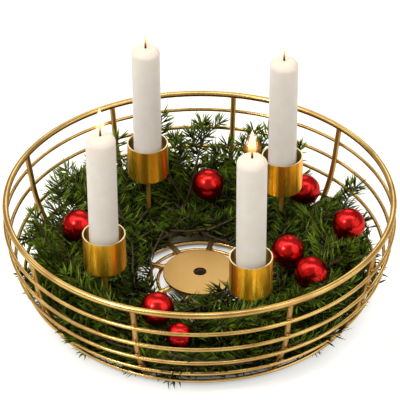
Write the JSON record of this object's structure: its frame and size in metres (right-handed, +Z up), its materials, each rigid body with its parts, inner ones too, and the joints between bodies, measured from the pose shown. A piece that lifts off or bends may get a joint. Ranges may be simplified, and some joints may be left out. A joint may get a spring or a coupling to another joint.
{
  "type": "advent candle holder",
  "caption": "Round basket of gold wire on bent feet, with candle cups on stems, lit white candles, fir sprays and red glass baubles.",
  "frame": {"origin": "on the table under the middle of the basket", "axes": "+Z up, -Y towards the picture's viewer, +X to the viewer's right"},
  "size_m": [0.3805, 0.3806, 0.2318],
  "materials": {
    "gold_wire": "gold lacquer on iron wire, satin gloss",
    "gold_disc": "gold lacquer on sheet iron, satin",
    "gold_cup": "drawn and polished, lacquered",
    "bare_steel": "turned",
    "wax": "ivory wax, silk matt",
    "wick": "charred cotton braid",
    "red_glass": "red lacquered glass, high gloss",
    "pick_wire": "drawn wire",
    "fir": "fresh green needles on brown twigs"
  },
  "bodies": {
    "basket": {"rim_ring": "gold_wire", "side_ring_1": "gold_wire", "side_ring_2": "gold_wire", "side_ring_3": "gold_wire", "side_ring_4": "gold_wire", "side_ring_5": "gold_wire", "floor_ring_1": "gold_wire", "floor_ring_2": "gold_wire", "floor_ring_3": "gold_wire", "floor_ring_4": "gold_wire", "floor_ring_5": "gold_wire", "rib_1": "gold_wire", "rib_2": "gold_wire", "rib_3": "gold_wire", "rib_4": "gold_wire", "rib_5": "gold_wire", "rib_6": "gold_wire", "rib_7": "gold_wire", "rib_8": "gold_wire", "candle_stem_1": "gold_wire", "candle_stem_2": "gold_wire", "candle_stem_3": "gold_wire", "candle_stem_4": "gold_wire", "centre_disc": "gold_disc", "candle_cup_1": "gold_cup", "candle_cup_2": "gold_cup", "candle_cup_3": "gold_cup", "candle_cup_4": "gold_cup", "candle_spikes": "bare_steel", "bauble_1": "red_glass", "bauble_2": "red_glass", "bauble_3": "red_glass", "bauble_4": "red_glass", "bauble_5": "red_glass", "bauble_6": "red_glass", "bauble_7": "red_glass", "bauble_8": "red_glass", "bauble_picks": "pick_wire", "fir_spray_1": "fir", "fir_spray_2": "fir", "fir_spray_3": "fir", "fir_spray_4": "fir", "fir_spray_5": "fir", "fir_spray_6": "fir", "fir_spray_7": "fir", "fir_spray_8": "fir"},
    "candle_body_1": {"candle_1": "wax", "wick_1": "wick"},
    "candle_body_2": {"candle_2": "wax", "wick_2": "wick"},
    "candle_body_3": {"candle_3": "wax", "wick_3": "wick"},
    "candle_body_4": {"candle_4": "wax", "wick_4": "wick"}
  },
  "joints": [
    {"name": "candle_1_lift", "type": "slide", "parent": "basket", "child": "candle_body_1", "axis": [0, 0, 1], "range_m": [0, 0.06]},
    {"name": "candle_2_lift", "type": "slide", "parent": "basket", "child": "candle_body_2", "axis": [0, 0, 1], "range_m": [0, 0.06]},
    {"name": "candle_3_lift", "type": "slide", "parent": "basket", "child": "candle_body_3", "axis": [0, 0, 1], "range_m": [0, 0.06]},
    {"name": "candle_4_lift", "type": "slide", "parent": "basket", "child": "candle_body_4", "axis": [0, 0, 1], "range_m": [0, 0.06]}
  ]
}
